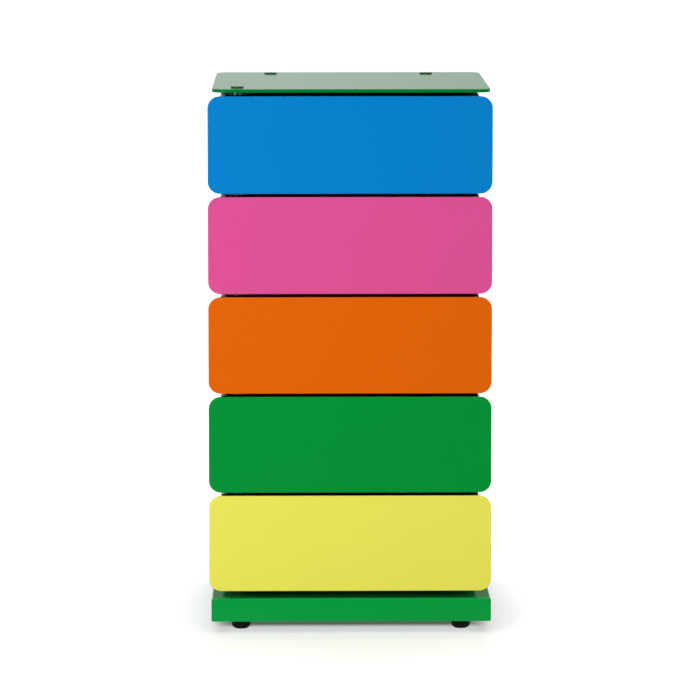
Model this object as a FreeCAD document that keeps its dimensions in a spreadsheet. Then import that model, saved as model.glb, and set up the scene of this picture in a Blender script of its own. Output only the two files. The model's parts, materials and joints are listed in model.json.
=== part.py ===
"""Swivel drawer tower: five trays on one corner post between a folded base and a top plate.

Frame of the model: millimetres, +Z up, front of the tower towards -Y, origin on the floor
under the middle of the outline. Everything is drawn with the drawers closed.
"""

import FreeCAD, Part
import math
import os
import Sketcher

Vector = FreeCAD.Vector
X_AXIS = Vector(1, 0, 0)
Z_AXIS = Vector(0, 0, 1)
OUTPUT_FOLDER = "parts"

DRAWER_COLOURS = ["yellow", "green", "orange", "pink", "blue"]
CORNERS = [(-1, -1), (1, -1), (1, 1), (-1, 1)]
HUB_RIBS = 6
TRAY_RIBS = 3

# Driving dimensions, in millimetres (angles in degrees)
DIMENSIONS = {
    # drawer fronts
    "front_width": 400.0,
    "front_height": 137.0,
    "front_thickness": 4.0,
    "front_corner_radius": 17.0,
    "front_edge_radius": 1.5,
    "front_gap": 4.5,
    "front_setback": 3.5,
    # lugs on the back of a front and their screws
    "lug_radius": 4.5,
    "lug_relief": 0.2,
    "lug_clearance": 0.3,
    "lug_spacing_across": 240.0,
    "lug_spacing_up": 70.0,
    "screw_flange_radius": 7.0,
    "screw_flange_thickness": 1.0,
    "screw_head_radius": 4.0,
    "screw_head_height": 2.0,
    "screw_head_edge": 1.2,
    "screw_shank_radius": 1.5,
    "screw_length": 6.0,
    "screw_thread_gap": 0.3,
    "screw_tip_gap": 0.3,
    # trays
    "tray_side_inset": 17.0,
    "tray_lift": 4.0,
    "tray_rim_drop": 2.0,
    "tray_wall": 3.0,
    "tray_floor": 3.0,
    "tray_corner_radius": 12.0,
    "tray_draft": 0.5,
    "tray_foot_height": 4.0,
    "tray_rib_thickness": 2.0,
    "tray_inner_edge_radius": 3.0,
    "stop_clearance": 0.5,
    # hubs, bushes and washers
    "hub_radius": 23.5,
    "hub_wall": 3.0,
    "hub_drop": 2.0,
    "hub_roof": 4.0,
    "hub_rib_thickness": 2.4,
    "hub_tube_wall": 2.4,
    "hub_edge_radius": 0.6,
    "hub_bore_gap": 1.0,
    "hub_web_spacing": 20.0,
    "running_clearance": 0.05,
    "bush_wall": 2.0,
    "bush_flange_radius": 16.0,
    "bush_flange_thickness": 2.0,
    "bush_length": 20.0,
    "bush_seat_gap": 0.1,
    "washer_radius": 21.0,
    "washer_thickness": 0.5,
    "washer_bore_gap": 0.3,
    "collar_radius": 14.0,
    # posts and bolts
    "post_radius": 10.0,
    "post_chamfer": 0.8,
    "pivot_inset_side": 38.5,
    "pivot_inset_front": 40.0,
    "rear_post_spacing": 230.0,
    "rear_post_inset": 40.0,
    "bolt_head_radius": 9.3,
    "bolt_head_height": 1.8,
    "bolt_head_edge": 0.9,
    "bolt_shank_radius": 3.7,
    "bolt_reach": 18.0,
    "bolt_thread_gap": 0.3,
    "bolt_hole_gap": 0.6,
    "bolt_tip_gap": 4.0,
    "bolt_socket_across": 5.0,
    "bolt_socket_depth": 1.3,
    # top plate
    "plate_side_margin": 3.0,
    "plate_end_margin": 2.5,
    "plate_thickness": 5.0,
    "plate_corner_radius": 17.0,
    "plate_edge_radius": 1.0,
    "plate_gap": 5.0,
    # base pan
    "frame_offset": 1.5,
    "base_side_margin": 1.5,
    "base_depth": 397.0,
    "base_height": 33.0,
    "base_clearance": 17.0,
    "base_gap": 10.0,
    "sheet_thickness": 2.0,
    "fold_radius": 3.0,
    "fold_inner_radius": 1.0,
    "notch_width": 3.0,
    "notch_height": 3.5,
    "notch_drop": 3.0,
    "flange_corner_radius": 3.5,
    "seam_gap": 0.6,
    # channels, weld nuts and feet
    "rail_width": 30.0,
    "rail_rise": 3.0,
    "rail_thickness": 2.0,
    "rail_end_gap": 1.0,
    "rail_hole_gap": 0.8,
    "foot_inset": 41.5,
    "nut_across": 13.0,
    "nut_height": 6.5,
    "pad_radius": 13.4,
    "pad_height": 13.0,
    "pad_bowl_radius": 6.8,
    "pad_top_edge": 1.5,
    "stud_radius": 3.7,
    "stud_thread_gap": 0.3,
    "stud_reach": 20.0,
    "stud_across": 13.0,
    "spigot_radius": 5.0,
    "spigot_length": 7.0,
    "spigot_gap": 0.1,
    # overrun of a cut past the surface it starts at
    "overrun": 1.0,
}


class Size:
    """A length with the spreadsheet formula that gives it and its present value."""

    def __init__(self, text, value):
        self.text = text
        self.value = value

    def combine(self, other, sign, swap=False):
        first, second = (other, self) if swap else (self, other)
        texts = [part.text if isinstance(part, Size) else str(part) for part in (first, second)]
        values = [part.value if isinstance(part, Size) else part for part in (first, second)]
        results = {
            "+": lambda a, b: a + b,
            "-": lambda a, b: a - b,
            "*": lambda a, b: a * b,
            "/": lambda a, b: a / b,
        }
        return Size("(%s %s %s)" % (texts[0], sign, texts[1]), results[sign](*values))

    def __add__(self, other):
        return self.combine(other, "+")

    def __radd__(self, other):
        return self.combine(other, "+", swap=True)

    def __sub__(self, other):
        return self.combine(other, "-")

    def __rsub__(self, other):
        return self.combine(other, "-", swap=True)

    def __mul__(self, other):
        return self.combine(other, "*")

    def __rmul__(self, other):
        return self.combine(other, "*", swap=True)

    def __truediv__(self, other):
        return self.combine(other, "/")

    def __neg__(self):
        return self * -1


doc = FreeCAD.newDocument("drawer_tower")
sheet = doc.addObject("Spreadsheet::Sheet", "dimensions")
for row, (alias, number) in enumerate(DIMENSIONS.items(), start=1):
    sheet.set("A%d" % row, alias)
    sheet.set("B%d" % row, str(number))
    sheet.setAlias("B%d" % row, alias)
doc.recompute()

NONE = Size("0", 0.0)
size = {alias: Size("dimensions.%s" % alias, float(sheet.get(alias))) for alias in DIMENSIONS}
nodes = {}


# Bodies and placements


def new_body(label):
    body = doc.addObject("PartDesign::Body", label)
    body.Label = label
    return body


def place(piece, x=NONE, y=NONE, z=NONE, rotation=None):
    if rotation is not None:
        piece.Placement = FreeCAD.Placement(Vector(), rotation)
    for axis, distance in (("x", x), ("y", y), ("z", z)):
        piece.setExpression("Placement.Base.%s" % axis, distance.text)
    return piece


def group(label, pieces):
    """One node of several like pieces that stay separate solids."""
    compound = doc.addObject("Part::Compound", label)
    compound.Label = label
    compound.Links = pieces
    nodes[label] = compound
    return compound


def node(piece):
    nodes[piece.Label] = piece
    return piece


# Sketches


def new_sketch(body, role, height=NONE):
    sketch = body.newObject("Sketcher::SketchObject", body.Label + "_sketch")
    plane = [feature for feature in body.Origin.OriginFeatures if feature.Role == role][0]
    sketch.AttachmentSupport = [(plane, "")]
    sketch.MapMode = "FlatFace"
    sketch.setExpression("AttachmentOffset.Base.z", height.text)
    return sketch


def constrain(sketch, kind, *references, to):
    """Adds a sized constraint and ties it to the spreadsheet."""
    index = sketch.addConstraint(Sketcher.Constraint(kind, *references, to.value))
    sketch.setExpression("Constraints[%d]" % index, to.text)


def fix_point(sketch, geometry, point, x, y):
    """Ties one point of a sketch to its place, measured from the sketch's origin."""
    for kind, axis, distance in (("DistanceX", -2, x), ("DistanceY", -1, y)):
        if distance is NONE:
            sketch.addConstraint(Sketcher.Constraint("PointOnObject", geometry, point, axis))
        else:
            constrain(sketch, kind, -1, 1, geometry, point, to=distance)


def circle(sketch, x, y, radius):
    curve = Part.Circle(Vector(x.value, y.value, 0), Z_AXIS, radius.value)
    index = sketch.addGeometry(curve, False)
    fix_point(sketch, index, 3, x, y)
    constrain(sketch, "Radius", index, to=radius)


def outline(sketch, points):
    """A closed outline of straight lines through the points."""
    first = sketch.GeometryCount
    count = len(points)
    for index in range(count):
        start, end = points[index], points[(index + 1) % count]
        line = Part.LineSegment(
            Vector(start[0].value, start[1].value, 0), Vector(end[0].value, end[1].value, 0)
        )
        sketch.addGeometry(line, False)
    for index in range(count):
        following = first + (index + 1) % count
        sketch.addConstraint(Sketcher.Constraint("Coincident", first + index, 2, following, 1))
    for index in range(count):
        fix_point(sketch, first + index, 1, *points[index])


def rectangle(sketch, left, right, front, back):
    outline(sketch, [(left, front), (right, front), (right, back), (left, back)])


def rounded_rectangle(sketch, left, right, front, back, radius):
    """Four sides joined by four tangent arcs of the same radius."""
    inner_left, inner_right = left + radius, right - radius
    inner_front, inner_back = front + radius, back - radius
    sides = [
        ((inner_left, front), (inner_right, front)),
        ((right, inner_front), (right, inner_back)),
        ((inner_right, back), (inner_left, back)),
        ((left, inner_back), (left, inner_front)),
    ]
    corners = [
        (inner_right, inner_front),
        (inner_right, inner_back),
        (inner_left, inner_back),
        (inner_left, inner_front),
    ]
    for (start, end), centre, quarter in zip(sides, corners, range(-1, 3)):
        line = Part.LineSegment(
            Vector(start[0].value, start[1].value, 0), Vector(end[0].value, end[1].value, 0)
        )
        whole = Part.Circle(Vector(centre[0].value, centre[1].value, 0), Z_AXIS, radius.value)
        begin = quarter * math.pi / 2
        sketch.addGeometry(line, False)
        sketch.addGeometry(Part.ArcOfCircle(whole, begin, begin + math.pi / 2), False)
    first = sketch.GeometryCount - 8
    for step in range(0, 8, 2):
        side, corner = first + step, first + step + 1
        following = first + (step + 2) % 8
        sketch.addConstraint(Sketcher.Constraint("Tangent", side, 2, corner, 1))
        sketch.addConstraint(Sketcher.Constraint("Tangent", corner, 2, following, 1))
        direction = "Horizontal" if step % 4 == 0 else "Vertical"
        sketch.addConstraint(Sketcher.Constraint(direction, side))
        if step:
            sketch.addConstraint(Sketcher.Constraint("Equal", first + 1, corner))
    constrain(sketch, "Radius", first + 1, to=radius)
    for kind, side, distance in (
        ("DistanceY", first, front),
        ("DistanceX", first + 2, right),
        ("DistanceY", first + 4, back),
        ("DistanceX", first + 6, left),
    ):
        constrain(sketch, kind, -1, 1, side, 1, to=distance)


def ring_sector(sketch, inner_radius, outer_radius, half_rib):
    """The space between two ribs of a ring of HUB_RIBS sectors, on the +X side."""
    sector = math.pi / HUB_RIBS
    corners = []
    for radius in (inner_radius, outer_radius):
        half_angle = sector - math.asin(half_rib.value / radius.value)
        corners.append((radius, half_angle))
    arcs = []
    for radius, half_angle in corners:
        whole = Part.Circle(Vector(), Z_AXIS, radius.value)
        arcs.append(sketch.addGeometry(Part.ArcOfCircle(whole, -half_angle, half_angle), False))
    for arc, (radius, half_angle) in zip(arcs, corners):
        sketch.addConstraint(Sketcher.Constraint("Coincident", arc, 3, -1, 1))
        constrain(sketch, "Radius", arc, to=radius)
    for side, point in ((-1, 1), (1, 2)):
        ends = [
            Vector(radius.value * math.cos(angle), side * radius.value * math.sin(angle), 0)
            for radius, angle in corners
        ]
        line = sketch.addGeometry(Part.LineSegment(*ends), False)
        sketch.addConstraint(Sketcher.Constraint("Coincident", line, 1, arcs[0], point))
        sketch.addConstraint(Sketcher.Constraint("Coincident", line, 2, arcs[1], point))
        sketch.addConstraint(Sketcher.Constraint("Angle", line, side * sector))
        constrain(sketch, "Distance", -1, 1, line, to=half_rib)


# Features


def solid_volume(body):
    doc.recompute()
    return body.Shape.Volume


def pad(body, sketch, length, towards=1):
    """Adds material along the sketch's normal, or against it with towards set to -1."""
    feature = body.newObject("PartDesign::Pad", body.Label + "_pad")
    feature.Profile = sketch
    feature.setExpression("Length", length.text)
    feature.Reversed = towards < 0
    sketch.Visibility = False
    return feature


def pocket(body, sketch, depth, towards=-1, draft=None):
    """Removes material against the sketch's normal, or along it with towards set to 1."""
    before = solid_volume(body)
    feature = body.newObject("PartDesign::Pocket", body.Label + "_pocket")
    feature.Profile = sketch
    feature.setExpression("Length", depth.text)
    feature.Reversed = towards > 0
    if draft is not None:
        feature.setExpression("TaperAngle", draft.text)
    if solid_volume(body) >= before:
        raise ValueError(body.Label + ": a pocket removes nothing")
    return feature


def turned(label, points):
    """A body turned about Z from an outline of radii and heights."""
    body = new_body(label)
    sketch = new_sketch(body, "XZ_Plane")
    outline(sketch, points)
    feature = body.newObject("PartDesign::Revolution", label + "_turned")
    feature.Profile = sketch
    feature.ReferenceAxis = (sketch, ["V_Axis"])
    feature.Angle = 360
    doc.recompute()
    return body


def edges_where(feature, test):
    """Names of the edges of a feature whose bounding box passes the test."""
    names = []
    for index, edge in enumerate(feature.Shape.Edges, start=1):
        if test(edge.BoundBox):
            names.append("Edge%d" % index)
    return names


def round_edges(body, radius, test, kind="Fillet"):
    doc.recompute()
    base = body.Tip
    names = edges_where(base, test)
    if not names:
        raise ValueError(body.Label + ": no edge to round")
    feature = body.newObject("PartDesign::" + kind, body.Label + "_edges")
    feature.Base = (base, names)
    feature.setExpression("Radius" if kind == "Fillet" else "Size", radius.text)
    doc.recompute()
    return feature


def near(first, second):
    return math.isclose(first, second, abs_tol=1e-4)


def level_at(height):
    """A test for edges that lie level at the height."""
    return lambda box: near(box.ZMin, height.value) and near(box.ZMax, height.value)


def hexagon(across):
    """Corner points of a hexagon about the origin, from its width across flats."""
    corner = across / math.sqrt(3)
    half = corner / 2
    side = across / 2
    return [(half, -side), (corner, NONE), (half, side), (-half, side), (-corner, NONE), (-half, -side)]


# Levels and places that several pieces share

frame_x = size["frame_offset"]
base_half_width = size["front_width"] / 2 - size["base_side_margin"]
base_half_depth = size["base_depth"] / 2
base_bottom = size["base_clearance"]
base_top = base_bottom + size["base_height"]
pan_underside = base_top - size["sheet_thickness"]
front_pitch = size["front_height"] + size["front_gap"]
lowest_front = base_top + size["base_gap"]
top_front = lowest_front + front_pitch * (len(DRAWER_COLOURS) - 1)
plate_underside = top_front + size["front_height"] + size["plate_gap"]
plate_top = plate_underside + size["plate_thickness"]

front_face_y = size["front_setback"] - base_half_depth
tray_face_y = front_face_y + size["front_thickness"]
pivot_x = frame_x - base_half_width + size["pivot_inset_side"]
pivot_y = size["pivot_inset_front"] - base_half_depth
rear_post_y = base_half_depth - size["rear_post_inset"]
tray_back_y = rear_post_y - size["post_radius"] - size["stop_clearance"]

hub_length = front_pitch - size["washer_thickness"]
bush_radius = size["post_radius"] + size["running_clearance"] + size["bush_wall"]
rail_underside = base_bottom + size["rail_rise"]
bolt_hole_radius = size["bolt_shank_radius"] + size["bolt_hole_gap"]

POST_PLACES = {
    "pivot_post": (pivot_x, pivot_y),
    "rear_post_left": (frame_x - size["rear_post_spacing"] / 2, rear_post_y),
    "rear_post_right": (frame_x + size["rear_post_spacing"] / 2, rear_post_y),
}


def front_level(number):
    """Height of the lower edge of a drawer's front, counted from the lowest drawer."""
    return lowest_front + front_pitch * number


def hub_level(number):
    return front_level(number) - size["hub_drop"]


# Frame: folded base pan and flat top plate


def make_base_pan():
    """A sheet pan folded down on four sides, with a relief notch at each end of two flanges."""
    half_width, half_depth = base_half_width, base_half_depth
    sheet_gauge, height = size["sheet_thickness"], size["base_height"]
    body = new_body("base_pan")
    sketch = new_sketch(body, "XY_Plane")
    rectangle(sketch, -half_width, half_width, -half_depth, half_depth)
    pad(body, sketch, height)
    round_edges(body, size["fold_radius"], level_at(height))
    sketch = new_sketch(body, "XY_Plane")
    inner_width, inner_depth = half_width - sheet_gauge, half_depth - sheet_gauge
    rectangle(sketch, -inner_width, inner_width, -inner_depth, inner_depth)
    pocket(body, sketch, height - sheet_gauge, towards=1)
    round_edges(body, size["fold_inner_radius"], level_at(height - sheet_gauge))

    # relief notches at the ends of the front and rear flanges, and the seams below them
    notch_floor = height - size["notch_drop"] - size["notch_height"]
    outer_x, outer_y = half_width + size["overrun"], half_depth + size["overrun"]
    notch_x = half_width - size["notch_width"]
    seam_x, seam_y = inner_width - size["overrun"], inner_depth - size["seam_gap"]
    cuts = [
        (notch_floor, size["notch_height"], notch_x, seam_y, outer_y),
        (NONE, notch_floor, seam_x, seam_y, inner_depth),
    ]
    for start, cut_height, inner_x, near_y, far_y in cuts:
        sketch = new_sketch(body, "XY_Plane", start)
        for end, side in CORNERS:
            rectangle(sketch, end * inner_x, end * outer_x, side * near_y, side * far_y)
        pocket(body, sketch, cut_height, towards=1)
    sketch = new_sketch(body, "XY_Plane", height)
    for x, y in POST_PLACES.values():
        circle(sketch, x - frame_x, y, bolt_hole_radius)
    pocket(body, sketch, sheet_gauge + size["overrun"])
    round_edges(
        body,
        size["flange_corner_radius"],
        lambda box: near(box.ZMax, 0)
        and near(box.XLength, 0)
        and near(box.YLength, sheet_gauge.value)
        and near(abs(box.XMin), half_width.value),
    )
    return node(place(body, frame_x, NONE, base_bottom))


def make_top_plate():
    half_width = base_half_width - size["plate_side_margin"]
    half_depth = base_half_depth - size["plate_end_margin"]
    thickness = size["plate_thickness"]
    body = new_body("top_plate")
    sketch = new_sketch(body, "XY_Plane")
    corner = size["plate_corner_radius"]
    rounded_rectangle(sketch, -half_width, half_width, -half_depth, half_depth, corner)
    pad(body, sketch, thickness)
    round_edges(body, size["plate_edge_radius"], level_at(thickness))
    sketch = new_sketch(body, "XY_Plane", thickness)
    for x, y in POST_PLACES.values():
        circle(sketch, x - frame_x, y, bolt_hole_radius)
    pocket(body, sketch, thickness + size["overrun"])
    return node(place(body, frame_x, NONE, plate_underside))


# Posts, bolts, collar, washers and spacer


def make_post(label, x, y):
    """A round bar with a threaded bore in each end."""
    length = plate_underside - base_top
    bore_depth = size["bolt_reach"] + size["bolt_tip_gap"]
    bore_radius = size["bolt_shank_radius"] + size["bolt_thread_gap"]
    body = new_body(label)
    sketch = new_sketch(body, "XY_Plane")
    circle(sketch, NONE, NONE, size["post_radius"])
    pad(body, sketch, length)
    round_edges(body, size["post_chamfer"], lambda box: near(box.ZLength, 0), kind="Chamfer")
    for height, towards in ((NONE, 1), (length, -1)):
        sketch = new_sketch(body, "XY_Plane", height)
        circle(sketch, NONE, NONE, bore_radius)
        pocket(body, sketch, bore_depth, towards=towards)
    return node(place(body, x, y, base_top))


def make_bolt(label, grip):
    """A low, flat head with a hexagon socket over a plain shank, head down to its seat at zero."""
    head, shank = size["bolt_head_radius"], size["bolt_shank_radius"]
    height = size["bolt_head_height"]
    tip = -(grip + size["bolt_reach"])
    body = turned(
        label,
        [(NONE, tip), (shank, tip), (shank, NONE), (head, NONE), (head, height), (NONE, height)],
    )
    round_edges(body, size["bolt_head_edge"], level_at(height))
    sketch = new_sketch(body, "XY_Plane", height)
    outline(sketch, hexagon(size["bolt_socket_across"]))
    pocket(body, sketch, size["bolt_socket_depth"])
    return body


def make_bolts():
    top_bolts, base_bolts = [], []
    upside_down = FreeCAD.Rotation(X_AXIS, 180)
    for post, (x, y) in POST_PLACES.items():
        bolt = make_bolt("top_bolt_" + post, size["plate_thickness"])
        top_bolts.append(place(bolt, x, y, plate_top))
        bolt = make_bolt("base_bolt_" + post, size["sheet_thickness"])
        base_bolts.append(place(bolt, x, y, pan_underside, upside_down))
    group("top_bolts", top_bolts)
    group("base_bolts", base_bolts)


def make_ring(label, radius, thickness):
    """A flat ring about the pivot post, with a little room round the post."""
    bore = size["post_radius"] + size["washer_bore_gap"]
    return turned(label, [(bore, NONE), (radius, NONE), (radius, thickness), (bore, thickness)])


def make_base_collar():
    """A ring that carries the whole stack of hubs on the base pan."""
    height = size["base_gap"] - size["hub_drop"] - size["washer_thickness"]
    body = make_ring("base_collar", size["collar_radius"], height)
    return node(place(body, pivot_x, pivot_y, base_top))


def make_washers():
    washers = []
    for number in range(len(DRAWER_COLOURS) + 1):
        washer = make_ring("washer_%d" % number, size["washer_radius"], size["washer_thickness"])
        level = hub_level(number) - size["washer_thickness"]
        washers.append(place(washer, pivot_x, pivot_y, level))
    group("hub_washers", washers)


def make_top_spacer():
    level = hub_level(len(DRAWER_COLOURS))
    body = make_ring("top_spacer", size["hub_radius"], plate_underside - level)
    return node(place(body, pivot_x, pivot_y, level))


# Channels, weld nuts and levelling feet


def make_rail(label, x):
    """A channel, open at the top, welded along the underside of the pan."""
    half_width, gauge = size["rail_width"] / 2, size["rail_thickness"]
    half_length = base_half_depth - size["sheet_thickness"] - size["rail_end_gap"]
    height = pan_underside - rail_underside
    foot_y = base_half_depth - size["foot_inset"]
    inner = half_width - gauge
    body = new_body(label)
    sketch = new_sketch(body, "XZ_Plane", -half_length)
    outline(
        sketch,
        [
            (-half_width, NONE),
            (half_width, NONE),
            (half_width, height),
            (inner, height),
            (inner, gauge),
            (-inner, gauge),
            (-inner, height),
            (-half_width, height),
        ],
    )
    pad(body, sketch, half_length * 2)
    sketch = new_sketch(body, "XY_Plane", gauge)
    for side in (-1, 1):
        circle(sketch, NONE, side * foot_y, size["stud_radius"] + size["rail_hole_gap"])
    pocket(body, sketch, gauge + size["overrun"])
    return node(place(body, x, NONE, rail_underside))


def make_nut(label, x, y):
    body = new_body(label)
    sketch = new_sketch(body, "XY_Plane")
    outline(sketch, hexagon(size["nut_across"]))
    circle(sketch, NONE, NONE, size["stud_radius"] + size["stud_thread_gap"])
    pad(body, sketch, size["nut_height"])
    return place(body, x, y, rail_underside + size["rail_thickness"])


def make_foot_pad(label, x, y):
    """A bowl-shaped glide with a recess for the spigot of its stud."""
    radius, height = size["pad_radius"], size["pad_height"]
    recess = size["spigot_radius"] + size["spigot_gap"]
    floor = height - size["spigot_length"] - size["spigot_gap"]
    body = turned(
        label,
        [(NONE, NONE), (radius, NONE), (radius, height), (recess, height), (recess, floor), (NONE, floor)],
    )
    round_edges(body, size["pad_bowl_radius"], level_at(NONE))
    outer = size["pad_radius"].value
    rim_test = level_at(height)
    round_edges(
        body,
        size["pad_top_edge"],
        lambda box: rim_test(box) and near(box.XMax, outer),
        kind="Chamfer",
    )
    return node(place(body, x, y))


def make_foot_stud(label, x, y):
    """A threaded stud with a hexagon collar and a spigot that sits in the pad."""
    pad_top = size["pad_height"]
    body = new_body(label)
    sketch = new_sketch(body, "XY_Plane")
    outline(sketch, hexagon(size["stud_across"]))
    pad(body, sketch, rail_underside - pad_top)
    sketch = new_sketch(body, "XY_Plane")
    circle(sketch, NONE, NONE, size["spigot_radius"])
    pad(body, sketch, size["spigot_length"], towards=-1)
    sketch = new_sketch(body, "XY_Plane")
    circle(sketch, NONE, NONE, size["stud_radius"])
    pad(body, sketch, rail_underside - pad_top + size["stud_reach"])
    return node(place(body, x, y, pad_top))


def make_feet():
    foot_x = base_half_width - size["foot_inset"]
    foot_y = base_half_depth - size["foot_inset"]
    nuts = []
    for side, side_sign in (("left", -1), ("right", 1)):
        rail_x = frame_x + side_sign * foot_x
        make_rail("foot_rail_" + side, rail_x)
        for end, end_sign in (("front", -1), ("rear", 1)):
            place_name = "%s_%s" % (end, side)
            make_foot_pad("foot_pad_" + place_name, rail_x, end_sign * foot_y)
            make_foot_stud("foot_stud_" + place_name, rail_x, end_sign * foot_y)
            nuts.append(make_nut("nut_" + place_name, rail_x, end_sign * foot_y))
    group("foot_nuts", nuts)


# Drawers: front, tray with its moulded hub, bushes and screws


def lug_places():
    """The four screw places of a front, from the middle of its lower edge."""
    across, up = size["lug_spacing_across"] / 2, size["lug_spacing_up"] / 2
    middle = size["front_height"] / 2
    return [(side * across, middle + level * up) for level in (-1, 1) for side in (-1, 1)]


def make_front(colour, level):
    """A flat panel with four blind-bored lugs on its back, which pass through the tray wall."""
    half_width, thickness = size["front_width"] / 2, size["front_thickness"]
    body = new_body(colour + "_front")
    sketch = new_sketch(body, "XZ_Plane")
    rounded_rectangle(
        sketch, -half_width, half_width, NONE, size["front_height"], size["front_corner_radius"]
    )
    pad(body, sketch, thickness)
    face = -thickness
    round_edges(
        body,
        size["front_edge_radius"],
        lambda box: near(box.YMin, face.value) and near(box.YMax, face.value),
    )
    lug_length = size["tray_wall"] - size["lug_relief"]
    sketch = new_sketch(body, "XZ_Plane")
    for x, z in lug_places():
        circle(sketch, x, z, size["lug_radius"])
    pad(body, sketch, lug_length, towards=-1)
    sketch = new_sketch(body, "XZ_Plane", -lug_length)
    for x, z in lug_places():
        circle(sketch, x, z, size["screw_shank_radius"] + size["screw_thread_gap"])
    bore_depth = size["screw_length"] - size["lug_relief"] + size["screw_tip_gap"]
    pocket(body, sketch, bore_depth, towards=1)
    return node(place(body, NONE, tray_face_y, level))


def make_screws(colour, level):
    """Pan-head screws, with a flange, that clamp the tray wall to the lugs of the front."""
    flange, flange_height = size["screw_flange_radius"], size["screw_flange_thickness"]
    head, shank = size["screw_head_radius"], size["screw_shank_radius"]
    top = flange_height + size["screw_head_height"]
    tip = -size["screw_length"]
    seat_y = tray_face_y + size["tray_wall"]
    facing_back = FreeCAD.Rotation(X_AXIS, -90)
    screws = []
    for number, (x, z) in enumerate(lug_places(), start=1):
        body = turned(
            "%s_screw_%d" % (colour, number),
            [
                (NONE, tip),
                (shank, tip),
                (shank, NONE),
                (flange, NONE),
                (flange, flange_height),
                (head, flange_height),
                (head, top),
                (NONE, top),
            ],
        )
        round_edges(body, size["screw_head_edge"], level_at(top))
        screws.append(place(body, x, seat_y, level + z, facing_back))
    group(colour + "_front_screws", screws)


def make_tray(colour, level):
    """A moulded tray, drawn about its pivot axis, with a cored hub in its front left corner."""
    wall, corner = size["tray_wall"], size["tray_corner_radius"]
    left = size["tray_side_inset"] - size["front_width"] / 2 - pivot_x
    right = size["front_width"] / 2 - size["tray_side_inset"] - pivot_x
    front, back = tray_face_y - pivot_y, tray_back_y - pivot_y
    underside = size["hub_drop"] + size["tray_lift"]
    rim = size["hub_drop"] + size["front_height"] - size["tray_rim_drop"]
    floor_bottom = underside + size["tray_foot_height"]
    floor_top = floor_bottom + size["tray_floor"]

    body = new_body(colour + "_tray")
    sketch = new_sketch(body, "XY_Plane", underside)
    rounded_rectangle(sketch, left, right, front, back, corner)
    pad(body, sketch, rim - underside)

    # inside of the tray, narrowing towards its floor, and the hollow under the floor
    inside = (left + wall, right - wall, front + wall, back - wall, corner - wall)
    sketch = new_sketch(body, "XY_Plane", rim)
    rounded_rectangle(sketch, *inside)
    pocket(body, sketch, rim - floor_top, draft=-size["tray_draft"])
    round_edges(body, size["tray_inner_edge_radius"], level_at(floor_top))
    sketch = new_sketch(body, "XY_Plane", underside)
    rounded_rectangle(sketch, *inside)
    pocket(body, sketch, size["tray_foot_height"], towards=1)

    # stiffening ribs under the floor, from side to side and from front to back
    sketch = new_sketch(body, "XY_Plane", underside)
    half_rib = size["tray_rib_thickness"] / 2
    for number in range(1, TRAY_RIBS + 1):
        share = number / (TRAY_RIBS + 1)
        middle = front + (back - front) * share
        rectangle(sketch, left + wall / 2, right - wall / 2, middle - half_rib, middle + half_rib)
    pad(body, sketch, size["tray_foot_height"])

    # hub, standing above the rim and below the underside, webbed to the front wall
    sketch = new_sketch(body, "XY_Plane")
    circle(sketch, NONE, NONE, size["hub_radius"])
    pad(body, sketch, hub_length)
    round_edges(
        body,
        size["hub_edge_radius"],
        lambda box: near(box.ZLength, 0)
        and near(box.XLength, 2 * size["hub_radius"].value)
        and (near(box.ZMin, 0) or near(box.ZMin, hub_length.value)),
    )
    sketch = new_sketch(body, "XY_Plane", floor_top)
    web_end = -size["hub_radius"] / 2
    half_web = size["hub_rib_thickness"] / 2
    for side in (-1, 1):
        x = side * size["hub_web_spacing"] / 2
        rectangle(sketch, x - half_web, x + half_web, front + wall / 2, web_end)
    pad(body, sketch, rim - floor_top - size["hub_drop"])

    # seats of the bushes and the clear bore between them
    seat_gap = size["bush_seat_gap"]
    bores = [
        (NONE, size["bush_flange_radius"] + seat_gap, size["bush_flange_thickness"]),
        (NONE, bush_radius + seat_gap, size["bush_length"] + size["overrun"]),
        (NONE, size["post_radius"] + size["hub_bore_gap"], hub_length),
    ]
    for start, radius, depth in bores:
        sketch = new_sketch(body, "XY_Plane", start)
        circle(sketch, NONE, NONE, radius)
        pocket(body, sketch, depth, towards=1)
    for start, radius, depth in bores[:2]:
        sketch = new_sketch(body, "XY_Plane", hub_length)
        circle(sketch, NONE, NONE, radius)
        pocket(body, sketch, depth)

    # six sectors cored out of the hub from below, which leave a tube, ribs, a wall and a roof
    sketch = new_sketch(body, "XY_Plane")
    tube_radius = bush_radius + seat_gap + size["hub_tube_wall"]
    ring_sector(sketch, tube_radius, size["hub_radius"] - size["hub_wall"], half_web)
    core = pocket(body, sketch, hub_length - size["hub_roof"], towards=1)
    cores = body.newObject("PartDesign::PolarPattern", body.Label + "_cores")
    cores.Originals = [core]
    cores.Axis = (sketch, ["N_Axis"])
    cores.Angle = 360
    cores.Occurrences = HUB_RIBS
    body.Tip = cores

    # holes that the lugs of the front pass through, with flat seats for the screws inside
    hole_radius = size["lug_radius"] + size["lug_clearance"]
    seat_radius = size["screw_flange_radius"] + size["lug_clearance"]
    for start, radius, depth, towards in (
        (front + wall, hole_radius, wall + size["overrun"], 1),
        (front + wall, seat_radius, wall, -1),
    ):
        sketch = new_sketch(body, "XZ_Plane", -start)
        for x, z in lug_places():
            circle(sketch, x - pivot_x, z + size["hub_drop"], radius)
        pocket(body, sketch, depth, towards=towards)
    return node(place(body, pivot_x, pivot_y, level))


def make_bush(label, level, towards):
    """A flanged bush; towards is 1 for the lower one and -1 for the upper one."""
    bore = size["post_radius"] + size["running_clearance"]
    flange = size["bush_flange_radius"]
    shoulder, end = towards * size["bush_flange_thickness"], towards * size["bush_length"]
    body = turned(
        label,
        [
            (bore, NONE),
            (flange, NONE),
            (flange, shoulder),
            (bush_radius, shoulder),
            (bush_radius, end),
            (bore, end),
        ],
    )
    return place(body, pivot_x, pivot_y, level)


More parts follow.
